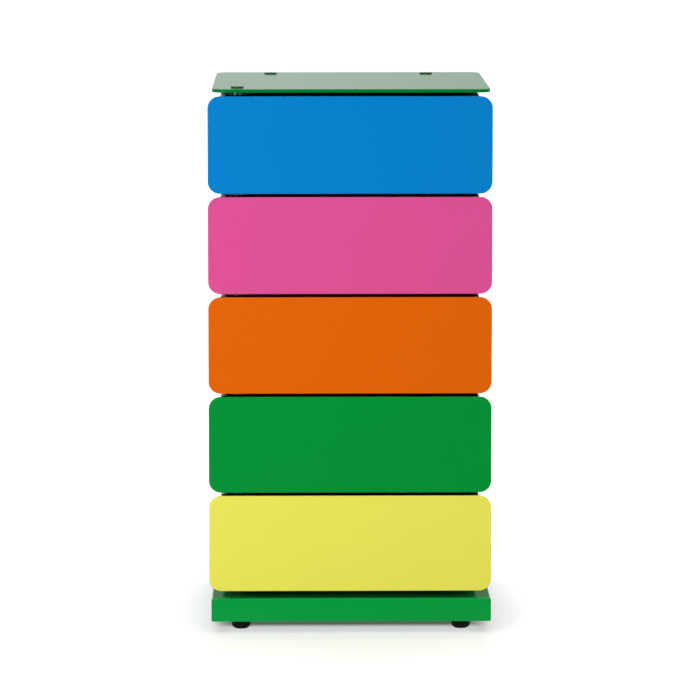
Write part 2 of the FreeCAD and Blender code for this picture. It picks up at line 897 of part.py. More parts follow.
def make_drawer(number, colour):
    level, hub = front_level(number), hub_level(number)
    make_front(colour, level)
    make_tray(colour, hub)
    make_screws(colour, level)
    lower = make_bush(colour + "_bush_lower", hub, 1)
    upper = make_bush(colour + "_bush_upper", hub + hub_length, -1)
    group(colour + "_bushes", [lower, upper])


# The whole tower

make_base_pan()
make_top_plate()
for post_name, (post_x, post_y) in POST_PLACES.items():
    make_post(post_name, post_x, post_y)
make_bolts()
make_base_collar()
make_washers()
make_top_spacer()
make_feet()
for drawer_number, drawer_colour in enumerate(DRAWER_COLOURS):
    make_drawer(drawer_number, drawer_colour)

doc.recompute()
for item in doc.Objects:
    if "Invalid" in item.State or "Error" in item.State:
        raise ValueError("%s did not compute: %s" % (item.Label, item.State))
for name, piece in nodes.items():
    if piece.Shape.isNull() or not piece.Shape.isValid():
        raise ValueError("%s has no valid shape" % name)

os.makedirs(OUTPUT_FOLDER, exist_ok=True)
for name, piece in nodes.items():
    piece.Shape.exportStep("%s/%s.step" % (OUTPUT_FOLDER, name))
    solids = piece.Shape.Solids
    print("%-24s %3d solid(s) %12.1f mm3" % (name, len(solids), piece.Shape.Volume))
print("%d nodes" % len(nodes))
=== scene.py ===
"""Swivel drawer tower: five moulded trays on one corner post between a folded base and a top plate.

Metres, +Z up, front of the tower towards -Y. Every piece is drawn closed, in the place of its node.
"""

import json
import math

import bmesh
import bpy
from mathutils import Matrix, Vector

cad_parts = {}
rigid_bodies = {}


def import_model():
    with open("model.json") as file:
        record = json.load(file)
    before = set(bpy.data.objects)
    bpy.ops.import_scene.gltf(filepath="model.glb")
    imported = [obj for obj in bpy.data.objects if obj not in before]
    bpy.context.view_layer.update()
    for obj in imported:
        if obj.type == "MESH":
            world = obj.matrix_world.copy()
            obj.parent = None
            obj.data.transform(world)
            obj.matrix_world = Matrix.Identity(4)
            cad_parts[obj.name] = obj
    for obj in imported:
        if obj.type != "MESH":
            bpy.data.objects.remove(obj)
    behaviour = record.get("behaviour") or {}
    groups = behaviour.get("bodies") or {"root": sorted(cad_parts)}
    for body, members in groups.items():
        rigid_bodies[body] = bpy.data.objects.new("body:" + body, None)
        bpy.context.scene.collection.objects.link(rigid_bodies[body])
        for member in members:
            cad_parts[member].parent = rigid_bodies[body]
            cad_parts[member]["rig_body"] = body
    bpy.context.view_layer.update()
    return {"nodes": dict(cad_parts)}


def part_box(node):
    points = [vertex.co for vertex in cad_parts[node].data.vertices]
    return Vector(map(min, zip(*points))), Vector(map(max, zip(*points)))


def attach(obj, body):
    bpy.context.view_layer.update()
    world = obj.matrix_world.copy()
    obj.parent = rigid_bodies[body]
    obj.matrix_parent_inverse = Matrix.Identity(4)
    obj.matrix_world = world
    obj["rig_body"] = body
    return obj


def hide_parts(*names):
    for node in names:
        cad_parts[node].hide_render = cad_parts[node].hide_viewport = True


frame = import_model()

MM = 0.001
RIGHT, BACK, UP = Vector((1, 0, 0)), Vector((0, 1, 0)), Vector((0, 0, 1))
FRONT, DOWN = -BACK, -UP
COLOURS = ["yellow", "green", "orange", "pink", "blue"]
BLACK, WHITE = (0, 0, 0, 1), (1, 1, 1, 1)
FOOT_CORNERS = ["front_left", "front_right", "rear_left", "rear_right"]
BURR = 0.25 * MM
SMALL_EDGE = 0.3 * MM
WELD = BURR / 1000
CUT_TOLERANCE = 1e-7
ALONG = 0.99
CORNER_ANGLE, SMOOTH_ANGLE = math.radians(50), math.radians(38)
HUB_STEPS, ROUND_STEPS, BAR_STEPS = 96, 64, 48
SPIGOT_STEPS, SMALL_STEPS, SHANK_STEPS = 32, 24, 16

# Panels, top plate and folded sheet
PANEL_THICKNESS = 4 * MM
PANEL_CORNER = 17 * MM
PANEL_EDGE, PANEL_BACK_EDGE = 1.5 * MM, 0.4 * MM
LUG_RADIUS = 4.5 * MM
LUG_ACROSS, LUG_UP = 240 * MM, 70 * MM
PLATE_CORNER = 17 * MM
PLATE_EDGE, PLATE_LOWER_EDGE = 0.8 * MM, 0.5 * MM
EDGE_SLOPE = 0.5
SHEET = 2 * MM
FOLD = 3 * MM
NOTCH_WIDTH, NOTCH_HEIGHT, NOTCH_DROP = 3 * MM, 3.5 * MM, 3 * MM
SEAM = 0.6 * MM
FLANGE_CORNER = 3.5 * MM

# Trays, hubs, bushes and rings
TRAY_WALL = 3 * MM
TRAY_CORNER = 12 * MM
TRAY_LIFT, TRAY_RIM_DROP = 4 * MM, 2 * MM
TRAY_FOOT = 4 * MM
TRAY_RIM_EDGE, TRAY_FLOOR_EDGE, TRAY_LOWER_EDGE = 0.8 * MM, 3 * MM, 1 * MM
DRAFT = math.radians(0.5)
RIB = 2 * MM
RIB_COUNT = 3
HUB_RADIUS, HUB_BORE = 23.5 * MM, 11 * MM
HUB_DROP = 2 * MM
HUB_EDGE = 0.6 * MM
WEB, WEB_SPACING = 2.4 * MM, 20 * MM
BUSH_SEAT, BUSH_BORE_SEAT = 16.1 * MM, 12.15 * MM
BUSH_BORE, BUSH_SLEEVE, BUSH_FLANGE = 10.05 * MM, 12.05 * MM, 16 * MM
BUSH_FLANGE_THICKNESS, BUSH_LENGTH = 2 * MM, 20 * MM
RING_BORE = 10.3 * MM
WASHER_PLAY = 0.02 * MM

# Posts, bolts, screws, nuts and feet
POST_CHAMFER = 0.8 * MM
BOLT_HEAD_RADIUS, BOLT_HEAD_HEIGHT, BOLT_HEAD_EDGE = 9.3 * MM, 1.8 * MM, 0.9 * MM
BOLT_SHANK_RADIUS = 3.7 * MM
BOLT_SOCKET, BOLT_SOCKET_DEPTH = 5 * MM, 1.3 * MM
SCREW_FLANGE_RADIUS, SCREW_FLANGE = 7 * MM, 1 * MM
SCREW_HEAD_RADIUS, SCREW_HEAD_HEIGHT, SCREW_HEAD_EDGE = 4 * MM, 2 * MM, 1.2 * MM
SCREW_SOCKET, SCREW_SOCKET_DEPTH = 2.4 * MM, 1.2 * MM
SCREW_SHANK_RADIUS = 1.5 * MM
NUT_ACROSS = 13 * MM
NUT_BORE_GAP = 0.3 * MM
NUT_CHAMFER_SHARE, NUT_DROP_SHARE, BORE_DEPTH_SHARE = 0.06, 0.03, 0.45
THREAD_PITCH, THREAD_DEPTH = 1.25 * MM, 0.6 * MM
PAD_BOWL, PAD_TOP_EDGE = 6.8 * MM, 1.2 * MM
PAD_RECESS, PAD_FLOOR = 5.1 * MM, 5.9 * MM
SPIGOT_RADIUS = 5 * MM

# Grain of the finishes: how wide its blobs are, how deep it stands, how far it moves the roughness
FLOW_WIDTH = 90 * MM
FLOW_ROUGHNESS, FINE_ROUGHNESS = 0.15, 0.2
PEEL_WIDTH, SPECK_WIDTH, CLOUD_WIDTH = 2.2 * MM, 0.5 * MM, 120 * MM
PEEL_DEPTH, PEEL_SHARE, CLOUD_SHARE = 0.012 * MM, 0.8, 0.7
PEEL_TONE = 0.03
SPECK_ROUGHNESS, CLOUD_ROUGHNESS = 0.3, 0.15
RING_WIDTH, RING_STRETCH, BLOTCH_WIDTH = 0.35 * MM, (0.02, 0.02, 1), 30 * MM
STEEL_ROUGHNESS, RING_ROUGHNESS, BLOTCH_ROUGHNESS = 0.22, 0.12, 0.05
MOTTLE_WIDTH, ZINC_GRAIN = 3 * MM, 0.4 * MM
ZINC_ROUGHNESS, MOTTLE_ROUGHNESS = 0.28, 0.14
METAL_DEPTH = 0.01 * MM
PLASTIC_IOR, PAINT_IOR = 1.46, 1.5

# Studio: ramps run from a low to a high value of a place or a direction
AMBIENT, OVERHEAD, OVERHEAD_RISE = 0.36, 0.68, (0.2, 0.9)
HORIZON_GLOSS, ALOFT_GLOSS, FRONT_GLOSS = 0.60, 0.12, 0.03
GLOSS_BEHIND, GLOSS_FALL = (-0.35, 0.1), (0.08, 0.18)
RIGHT_DIM, RIGHT_DIM_RISE = 0.16, (0, 0.06)
FLOOR_RADIUS = 60
FLOOR_WHITE, FLOOR_GREY = (222, 222, 222), (28, 28, 28)
# the floor's painted glow by place: painted shadow under the pan's front, painted light along its
# front edge and beside the tower
FLOOR_BEHIND = (-0.4, 0.6)
FLOOR_AWAY, FLOOR_BESIDE = (0.35, 0.9), (0.185, 0.29)
PAN_FRONT_RISE, PAN_FRONT_FALL = (-0.225, -0.16), (-0.155, -0.13)
PAN_SIDE_FALL, PAN_REACH_FALL = (0.165, 0.2), (0.3, 0.4)
SHADE_GLOW, AWAY_GLOW, BESIDE_GLOW, FRONT_GLOW, FRONT_DIM = 0.37, 0.55, 0.34, 0.22, 0.5
SOFTBOXES = {
    "left softbox": (Vector((-0.85, -1.45, 0.75)), 0.8, 1.35, 6.3),
    "left window": (Vector((-0.735, -2.2, 0.74)), 0.4, 0.6, 5.9),
    "right softbox": (Vector((0.70, -2.2, 0.87)), 0.5, 1.35, 3.0),
}
HIDDEN_FROM_GLOSS = "left softbox"
SOFTBOX_AIM = Vector((0, 0, 0.42))
CAMERA_PLACE = Vector((-0.0740, -6.0, 1.1530))
CAMERA_PITCH, CAMERA_YAW = 0.1281, 0.0127
CAMERA_LENS, CAMERA_SENSOR, CAMERA_CLIP = 213.57, 36, 200


# Solids, each in a mesh of its own


def block(low, high):
    """A box between two corners."""
    bm = bmesh.new()
    bmesh.ops.create_cube(bm, size=1)
    bmesh.ops.scale(bm, vec=high - low, verts=bm.verts[:])
    bmesh.ops.translate(bm, vec=(low + high) / 2, verts=bm.verts[:])
    bm.normal_update()
    return bm


def round_edges(bm, edges, radius, segments):
    bmesh.ops.bevel(
        bm,
        geom=list(edges),
        offset=radius,
        offset_type="OFFSET",
        affect="EDGES",
        segments=segments,
        profile=0.5,
        material=-1,
        clamp_overlap=False,
    )
    bm.normal_update()


def round_corners(bm, verts, radius, segments):
    bmesh.ops.bevel(
        bm,
        geom=list(verts),
        offset=radius,
        offset_type="OFFSET",
        affect="VERTICES",
        segments=segments,
        profile=0.5,
        material=-1,
        clamp_overlap=False,
    )
    bm.normal_update()


def edges_along(bm, direction):
    chosen = []
    for edge in bm.edges:
        run = edge.verts[1].co - edge.verts[0].co
        if abs(run.dot(direction)) > ALONG * run.length:
            chosen.append(edge)
    return chosen


def face_towards(bm, direction):
    """The largest face that looks in the direction."""
    return max(bm.faces, key=lambda face: (round(face.normal.dot(direction), 3), face.calc_area()))


def corners_at(bm, height):
    """Edges at a height where two faces meet in a corner."""
    return [
        edge
        for edge in bm.edges
        if all(abs(vert.co.z - height) < BURR for vert in edge.verts)
        and edge.calc_face_angle(0) > CORNER_ANGLE
    ]


def push(bm, face, distance):
    """Extrudes a face along its normal and returns the moved face."""
    outward = face.normal.copy()
    moved = bmesh.ops.extrude_discrete_faces(bm, faces=[face])["faces"][0]
    bmesh.ops.translate(bm, vec=outward * distance, verts=moved.verts[:])
    bm.normal_update()
    return moved


def narrow(bm, face, margin):
    """Draws in a level face by the margin on all sides."""
    low = Vector([min(vert.co[axis] for vert in face.verts) for axis in range(3)])
    high = Vector([max(vert.co[axis] for vert in face.verts) for axis in range(3)])
    factors = Vector((1 - 2 * margin / (high.x - low.x), 1 - 2 * margin / (high.y - low.y), 1))
    space = Matrix.Translation(-(low + high) / 2)
    bmesh.ops.scale(bm, vec=factors, space=space, verts=face.verts[:])
    bm.normal_update()


def inset(bm, face, width):
    bmesh.ops.inset_region(bm, faces=[face], thickness=width, depth=0, use_even_offset=True)
    bm.normal_update()
    return face


def turned(centre, profile, rounds=(), segments=ROUND_STEPS, axis=UP):
    """A solid of revolution from radii and heights; rounds gives the corners to round by number.

    A profile that starts and ends on the axis is left open there and closes at its poles.
    """
    bm = bmesh.new()
    verts = [bm.verts.new((radius, 0, height)) for radius, height in profile]
    closed = profile[0][0] > 0
    pairs = zip(verts, verts[1:] + verts[:1]) if closed else zip(verts, verts[1:])
    for first, second in pairs:
        bm.edges.new((first, second))
    for number, radius in rounds:
        round_corners(bm, [verts[number]], radius, 4)
    bmesh.ops.spin(
        bm,
        geom=bm.verts[:] + bm.edges[:],
        cent=(0, 0, 0),
        axis=UP,
        dvec=(0, 0, 0),
        angle=2 * math.pi,
        steps=segments,
        use_merge=True,
        use_normal_flip=False,
        use_duplicate=False,
    )
    bmesh.ops.remove_doubles(bm, verts=bm.verts[:], dist=WELD)
    stand(bm, centre, axis)
    return bm


def stand(bm, centre, axis):
    """Turns a solid that was drawn about the origin to its axis and takes it to its centre."""
    turn = UP.rotation_difference(axis).to_matrix()
    bmesh.ops.rotate(bm, cent=(0, 0, 0), matrix=turn, verts=bm.verts[:])
    bmesh.ops.translate(bm, vec=centre, verts=bm.verts[:])
    bm.normal_update()


def bar(radius, length, segments=BAR_STEPS):
    """A round bar that stands on the origin, with flat ends."""
    bm = bmesh.new()
    bmesh.ops.create_cone(
        bm, cap_ends=True, segments=segments, radius1=radius, radius2=radius, depth=length
    )
    bmesh.ops.translate(bm, vec=UP * length / 2, verts=bm.verts[:])
    bm.normal_update()
    return bm


def to_hexagon(verts, across):
    """Moves a ring of points about the origin to a hexagon of that width across flats."""
    sector = math.pi / 3
    for vert in verts:
        angle = math.atan2(vert.co.y, vert.co.x) % sector - sector / 2
        reach = across / 2 / math.cos(angle) / math.hypot(vert.co.x, vert.co.y)
        vert.co.x, vert.co.y = vert.co.x * reach, vert.co.y * reach


def to_circle(verts, radius):
    """Moves a ring of points about the origin to a circle."""
    for vert in verts:
        reach = radius / math.hypot(vert.co.x, vert.co.y)
        vert.co.x, vert.co.y = vert.co.x * reach, vert.co.y * reach


def hexagon(across, height, bore=0):
    """A hexagon prism on the origin with its corners turned off, and a bore if one is given."""
    bm = bar(across / 2, height)
    to_hexagon(bm.verts, across)
    bm.normal_update()
    rim_radius = across / 2 - across * NUT_CHAMFER_SHARE
    for direction in (UP, DOWN):
        face = inset(bm, face_towards(bm, direction), across * NUT_CHAMFER_SHARE)
        to_circle(face.verts, rim_radius)
        rim_edges = {edge for vert in face.verts for edge in vert.link_edges}
        for edge in rim_edges:
            for vert in edge.verts:
                if math.hypot(vert.co.x, vert.co.y) > across / 2 * (1 + NUT_DROP_SHARE):
                    vert.co.z = face.verts[0].co.z - direction.z * across * NUT_DROP_SHARE
        if bore:
            hole = inset(bm, face, rim_radius - bore)
            push(bm, hole, -height * BORE_DEPTH_SHARE)
    return bm


def finished(bm, number):
    """Gives all faces of a solid the number of its finish."""
    for face in bm.faces:
        face.material_index = number
    return bm


def merged(solids):
    whole = bmesh.new()
    for solid in solids:
        bmesh.ops.recalc_face_normals(solid, faces=solid.faces[:])
        scratch = bpy.data.meshes.new("scratch")
        solid.to_mesh(scratch)
        solid.free()
        whole.from_mesh(scratch)
        bpy.data.meshes.remove(scratch)
    return whole


def piece(name, node, solids, finishes):
    """Makes the object that stands for a node and hangs it on the node's body."""
    whole = merged(solids)
    mesh = bpy.data.meshes.new(name)
    whole.to_mesh(mesh)
    whole.free()
    mesh.shade_smooth()
    mesh.set_sharp_from_angle(angle=SMOOTH_ANGLE)
    made = bpy.data.objects.new(name, mesh)
    bpy.context.scene.collection.objects.link(made)
    for finish in finishes:
        mesh.materials.append(finish)
    weights = made.modifiers.new("flat faces stay flat", "WEIGHTED_NORMAL")
    weights.keep_sharp = True
    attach(made, frame["nodes"][node]["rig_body"])
    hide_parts(node)
    return made


# Finishes


class Wire:
    """A shader value, which Python's operators join by Math nodes."""

    def __init__(self, graph, socket):
        self.graph = graph
        self.socket = socket

    def joined(self, operation, first, second):
        return self.graph.node("Math", {"operation": operation}, {0: first, 1: second})

    def __add__(self, other):
        return self.joined("ADD", self, other)

    def __sub__(self, other):
        return self.joined("SUBTRACT", self, other)

    def __rsub__(self, other):
        return self.joined("SUBTRACT", other, self)

    def __mul__(self, other):
        return self.joined("MULTIPLY", self, other)

    __radd__ = __add__
    __rmul__ = __mul__


class Graph:
    """The node tree of a material or of the world."""

    def __init__(self, owner):
        owner.use_nodes = True
        self.tree = owner.node_tree
        self.nodes = self.tree.nodes

    def node(self, kind, settings, sockets, output=0):
        made = self.nodes.new("ShaderNode" + kind)
        for name, value in settings.items():
            setattr(made, name, value)
        for name, value in sockets.items():
            self.feed(made.inputs[name], value)
        return Wire(self, made.outputs[output])

    def feed(self, socket, value):
        if isinstance(value, Wire):
            self.tree.links.new(value.socket, socket)
        else:
            socket.default_value = value

    def place(self):
        return self.node("TexCoord", {}, {}, "Object")

    def noise(self, grain, detail=2.0, stretch=(1, 1, 1)):
        """Noise whose blobs are about grain metres wide, stretched along the axes."""
        mapped = self.node("Mapping", {}, {"Vector": self.place(), "Scale": stretch})
        sockets = {"Vector": mapped, "Scale": 1 / grain, "Detail": detail}
        return self.node("TexNoise", {}, sockets, "Fac")

    def along(self, vector, axis):
        """One coordinate of a vector."""
        return self.node("SeparateXYZ", {}, {"Vector": vector}, axis)

    def blend(self, share, first, second):
        sockets = {0: share, 6: first, 7: second}
        return self.node("Mix", {"data_type": "RGBA"}, sockets, 2)

    def ramp(self, value, span):
        """Goes from 0 to 1 while the value goes from the low to the high end of the span."""
        sockets = {"Value": value, "From Min": span[0], "From Max": span[1]}
        return self.node("MapRange", {"clamp": True}, sockets)

    def bump(self, height, depth):
        return self.node("Bump", {}, {"Height": height, "Distance": depth, "Strength": 1.0})

    def rays(self):
        """Whether a ray comes from the camera, from gloss or through glass."""
        camera = self.node("LightPath", {}, {}, "Is Camera Ray")
        kinds = camera.socket.node.outputs
        return camera, Wire(self, kinds["Is Glossy Ray"]), Wire(self, kinds["Is Transmission Ray"])


def linear(red, green, blue):
    """A screen colour as the linear colour that the shader takes."""
    channels = []
    for value in (red / 255, green / 255, blue / 255):
        channels.append(value / 12.92 if value < 0.04045 else ((value + 0.055) / 1.055) ** 2.4)
    return (*channels, 1.0)


def toned(colour, factor):
    return (*[min(channel * factor, 1.0) for channel in colour[:3]], 1.0)


def new_finish(name, settings):
    material = bpy.data.materials.new(name)
    graph = Graph(material)
    shader = graph.nodes["Principled BSDF"]
    for socket, value in settings.items():
        shader.inputs[socket].default_value = value
    return material, graph, shader


def moulded(name, colour, roughness, grain, depth, mottle=0.03, shine=0.5):
    """Injection-moulded plastic: a fine spark-eroded grain, and slight flow marks in the gloss."""
    material, graph, shader = new_finish(name, {"IOR": PLASTIC_IOR, "Specular IOR Level": shine})
    flow = graph.noise(FLOW_WIDTH, 3.0)
    fine = graph.noise(grain, 2.0)
    light, dark = toned(colour, 1 + mottle), toned(colour, 1 - mottle)
    graph.feed(shader.inputs["Base Color"], graph.blend(flow, dark, light))
    varied = roughness * (1 + (flow - 0.5) * FLOW_ROUGHNESS + (fine - 0.5) * FINE_ROUGHNESS)
    graph.feed(shader.inputs["Roughness"], varied)
    graph.feed(shader.inputs["Normal"], graph.bump(fine, depth))
    return material


def powder_coat(name, colour, roughness=0.12, shine=0.5):
    """Baked powder paint on sheet: a soft orange peel under an even gloss, slightly clouded."""
    material, graph, shader = new_finish(name, {"IOR": PAINT_IOR, "Specular IOR Level": shine})
    peel = graph.noise(PEEL_WIDTH, 1.0)
    speck = graph.noise(SPECK_WIDTH, 2.0)
    cloud = graph.noise(CLOUD_WIDTH, 2.0)
    tone = cloud * CLOUD_SHARE + speck * (1 - CLOUD_SHARE)
    dark, light = toned(colour, 1 - PEEL_TONE), toned(colour, 1 + PEEL_TONE)
    graph.feed(shader.inputs["Base Color"], graph.blend(tone, dark, light))
    varied = roughness * (1 + (speck - 0.5) * SPECK_ROUGHNESS + (cloud - 0.5) * CLOUD_ROUGHNESS)
    graph.feed(shader.inputs["Roughness"], varied)
    relief = peel * PEEL_SHARE + speck * (1 - PEEL_SHARE)
    graph.feed(shader.inputs["Normal"], graph.bump(relief, PEEL_DEPTH))
    return material


def ground_steel(name):
    """Ground and plated round bar: rings of fine grinding lines."""
    material, graph, shader = new_finish(name, {"Metallic": 1.0})
    rings = graph.noise(RING_WIDTH, 3.0, RING_STRETCH)
    blotch = graph.noise(BLOTCH_WIDTH, 2.0)
    dark, light = linear(176, 178, 180), linear(206, 207, 208)
    graph.feed(shader.inputs["Base Color"], graph.blend(rings * 0.5 + blotch * 0.5, dark, light))
    varied = STEEL_ROUGHNESS + rings * RING_ROUGHNESS + blotch * BLOTCH_ROUGHNESS
    graph.feed(shader.inputs["Roughness"], varied)
    graph.feed(shader.inputs["Normal"], graph.bump(rings, METAL_DEPTH))
    return material


def zinc_plate(name):
    """Bright zinc: pale grey metal with a faint blue mottle."""
    material, graph, shader = new_finish(name, {"Metallic": 1.0})
    mottle = graph.noise(MOTTLE_WIDTH, 3.0)
    fine = graph.noise(ZINC_GRAIN, 2.0)
    dark, light = linear(158, 164, 170), linear(204, 206, 202)
    graph.feed(shader.inputs["Base Color"], graph.blend(mottle, dark, light))
    graph.feed(shader.inputs["Roughness"], ZINC_ROUGHNESS + mottle * MOTTLE_ROUGHNESS)
    graph.feed(shader.inputs["Normal"], graph.bump(fine, METAL_DEPTH))
    return material


GREEN_COAT = powder_coat("green powder coat", linear(0, 161, 66))
# a darker copy of the green coat: painted shade for the upright edge faces of the top plate
GREEN_EDGE_PAINTED_SHADE = powder_coat("green coat darkened as painted shade on the plate edge", linear(0, 117, 52), shine=0.12)
# the frame green darkened: painted shade on the heads of the top bolts
BOLT_GREEN_PAINTED_SHADE = powder_coat("green of the bolts darkened as painted shade", linear(6, 78, 42))
# the frame green darkened: painted shade for the collar under the lowest drawer
DULL_GREEN_PAINTED_SHADE = powder_coat("dull green darkened as painted shade on the collar", linear(2, 72, 24), 0.6)
POST_STEEL = ground_steel("ground steel")
ZINC = zinc_plate("zinc plate")
GLOSS_BLACK = moulded("glossy black hub", linear(9, 10, 10), 0.07, 2 * MM, 0.001 * MM)
TRAY_BLACK = moulded("satin black tray", linear(26, 27, 28), 0.42, 0.7 * MM, 0.012 * MM, shine=0.3)
FOOT_BLACK = moulded("black foot plastic", linear(20, 22, 20), 0.45, 0.9 * MM, 0.03 * MM)
BUSH_WHITE = moulded("ivory acetal", linear(232, 229, 218), 0.35, 1.5 * MM, 0.01 * MM)
PANEL_COLOURS = {
    "yellow": linear(238, 234, 91),
    "green": linear(0, 147, 55),
    "orange": linear(228, 100, 1),
    "pink": linear(222, 82, 149),
    "blue": linear(0, 129, 205),
}


# Frame


def make_base_pan():
    """A sheet folded down on four sides, notched and slit at its corners."""
    low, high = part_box("base_pan")
    bm = block(low, high)
    bmesh.ops.delete(bm, geom=[face_towards(bm, DOWN)], context="FACES_ONLY")
    top_edges = [edge for edge in bm.edges if all(vert.co.z > high.z - BURR for vert in edge.verts)]
    round_edges(bm, top_edges, FOLD, 5)
    side_reach = (high.x - low.x) / 2 - NOTCH_WIDTH
    end_reach = (high.y - low.y) / 2 - SHEET - SEAM
    centre = (low + high) / 2
    notch_top = high.z - NOTCH_DROP
    notch_floor = notch_top - NOTCH_HEIGHT
    cuts = [(centre + RIGHT * side_reach, RIGHT), (centre - RIGHT * side_reach, RIGHT)]
    cuts += [(centre + BACK * end_reach, BACK), (centre - BACK * end_reach, BACK)]
    cuts += [(UP * notch_top, UP), (UP * notch_floor, UP)]
    for point, normal in cuts:
        geometry = bm.verts[:] + bm.edges[:] + bm.faces[:]
        bmesh.ops.bisect_plane(bm, geom=geometry, dist=CUT_TOLERANCE, plane_co=point, plane_no=normal)
    waste = []
    for face in bm.faces:
        middle = face.calc_center_median() - centre
        level = middle.z + centre.z
        on_side = abs(face.normal.x) > ALONG and abs(middle.y) > end_reach and level < notch_top
        at_end = abs(face.normal.y) > ALONG and abs(middle.x) > side_reach
        if on_side or (at_end and notch_floor < level < notch_top):
            waste.append(face)
    bmesh.ops.delete(bm, geom=waste, context="FACES")
    tips = []
    for vert in bm.verts:
        out = vert.co - centre
        at_foot = vert.co.z < low.z + BURR and len(vert.link_faces) == 1
        if at_foot and abs(out.x) > side_reach + BURR and abs(out.y) > end_reach + BURR:
            tips.append(vert)
    round_corners(bm, tips, FLANGE_CORNER, 5)
    pan = piece("base_pan_sheet", "base_pan", [bm], [GREEN_COAT])
    thicken(pan)
    edges = pan.modifiers.new("cut edges", "BEVEL")
    edges.width = BURR
    edges.segments = 2
    edges.limit_method = "ANGLE"
    edges.angle_limit = CORNER_ANGLE
    pan.modifiers.move(2, 1)


def thicken(thin):
    """Gives a drawn outer skin its sheet thickness, inwards."""
    gauge = thin.modifiers.new("sheet", "SOLIDIFY")
    gauge.thickness = SHEET
    gauge.offset = -1
    gauge.use_even_offset = True
    thin.modifiers.move(1, 0)


def make_top_plate():
    """A thick slab, its coat painted darker on the edge faces as painted shade."""
    bm = block(*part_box("top_plate"))
    round_edges(bm, edges_along(bm, UP), PLATE_CORNER, 12)
    round_edges(bm, face_towards(bm, UP).edges, PLATE_EDGE, 4)
    round_edges(bm, face_towards(bm, DOWN).edges, PLATE_LOWER_EDGE, 2)
    # upright faces take the darker coat, painted shade on the plate's edge
    for face in bm.faces:
        face.material_index = int(abs(face.normal.z) < EDGE_SLOPE)
    piece("top_plate_slab", "top_plate", [bm], [GREEN_COAT, GREEN_EDGE_PAINTED_SHADE])


def make_rail(node):
    """A channel, open at the top."""
    low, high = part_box(node)
    bm = block(low, high)
    waste = [face_towards(bm, direction) for direction in (UP, FRONT, BACK)]
    bmesh.ops.delete(bm, geom=waste, context="FACES")
    folds = [edge for edge in edges_along(bm, BACK) if edge.verts[0].co.z < low.z + BURR]
    round_edges(bm, folds, SHEET, 3)
    thicken(piece(node + "_channel", node, [bm], [GREEN_COAT]))


def axis_of(node):
    """The point under the middle of a round node, at its lower end."""
    low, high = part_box(node)
    return Vector(((low.x + high.x) / 2, (low.y + high.y) / 2, low.z))


POSTS = {
    "pivot_post": (POST_STEEL, "post_steel"),
    "rear_post_left": (GREEN_COAT, "frame_green"),
    "rear_post_right": (GREEN_COAT, "frame_green"),
}
PIVOT = axis_of("pivot_post")


def make_post(node, finish):
    low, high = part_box(node)
    bm = bar((high.x - low.x) / 2, high.z - low.z, ROUND_STEPS)
    for direction in (UP, DOWN):
        round_edges(bm, face_towards(bm, direction).edges, POST_CHAMFER, 1)
    stand(bm, axis_of(node), UP)
    piece(node + "_bar", node, [bm], [finish])


def socket_head(radius, height, edge, socket, depth, segments):
    """A round head on the origin with a rounded edge and a hexagon socket."""
    bm = bar(radius, height, segments)
    round_edges(bm, face_towards(bm, UP).edges, edge, 4)
    top = inset(bm, face_towards(bm, UP), radius - edge - socket / 2)
    to_hexagon(top.verts, socket)
    push(bm, top, -depth)
    return bm


def bolt(seat, axis, length):
    """A low socket head on its seat, over a plain shank."""
    head = socket_head(
        BOLT_HEAD_RADIUS, BOLT_HEAD_HEIGHT, BOLT_HEAD_EDGE, BOLT_SOCKET, BOLT_SOCKET_DEPTH, BAR_STEPS
    )
    stand(head, seat, axis)
    shank = bar(BOLT_SHANK_RADIUS, length, SMALL_STEPS)
    stand(shank, seat, -axis)
    return [head, shank]


def make_bolts():
    for node, axis, slot, finish in (
        # the top bolt heads take the darkened green, painted shade
        ("top_bolts", UP, "frame_green", BOLT_GREEN_PAINTED_SHADE),
        ("base_bolts", DOWN, "zinc_steel", ZINC),
    ):
        low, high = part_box(node)
        level = high.z - BOLT_HEAD_HEIGHT if axis.z > 0 else low.z + BOLT_HEAD_HEIGHT
        shank_length = high.z - low.z - BOLT_HEAD_HEIGHT
        solids = []
        for post in POSTS:
            place = axis_of(post)
            solids += bolt(Vector((place.x, place.y, level)), axis, shank_length)
        piece(node + "_set", node, solids, [finish])


def ring(low, high, edge=SMALL_EDGE):
    """A flat ring round the pivot post between two levels, as wide as their box."""
    radius, height = (high.x - low.x) / 2, high.z - low.z
    profile = [(RING_BORE, 0), (radius, 0), (radius, height), (RING_BORE, height)]
    return turned(Vector((PIVOT.x, PIVOT.y, low.z)), profile, [(1, edge), (2, edge)])


def make_rings():
    """The collar under the hubs, the spacer over them and the thin washers between them."""
    collar = ring(*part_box("base_collar"))
    # the collar takes the darkened green, painted shade where it sits under the lowest drawer
    piece("base_collar_ring", "base_collar", [collar], [DULL_GREEN_PAINTED_SHADE])
    spacer = ring(*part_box("top_spacer"))
    piece("top_spacer_ring", "top_spacer", [spacer], [GLOSS_BLACK])
    low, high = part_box("hub_washers")
    levels = [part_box(colour + "_tray")[0].z for colour in COLOURS] + [high.z]
    thin = levels[0] - low.z
    washers = []
    for level in levels:
        washer_low = Vector((low.x, low.y, level - thin + WASHER_PLAY))
        washer_high = Vector((high.x, high.y, level - WASHER_PLAY))
        washers.append(ring(washer_low, washer_high, thin / 3))
    piece("hub_washers_set", "hub_washers", washers, [BUSH_WHITE])


# Feet


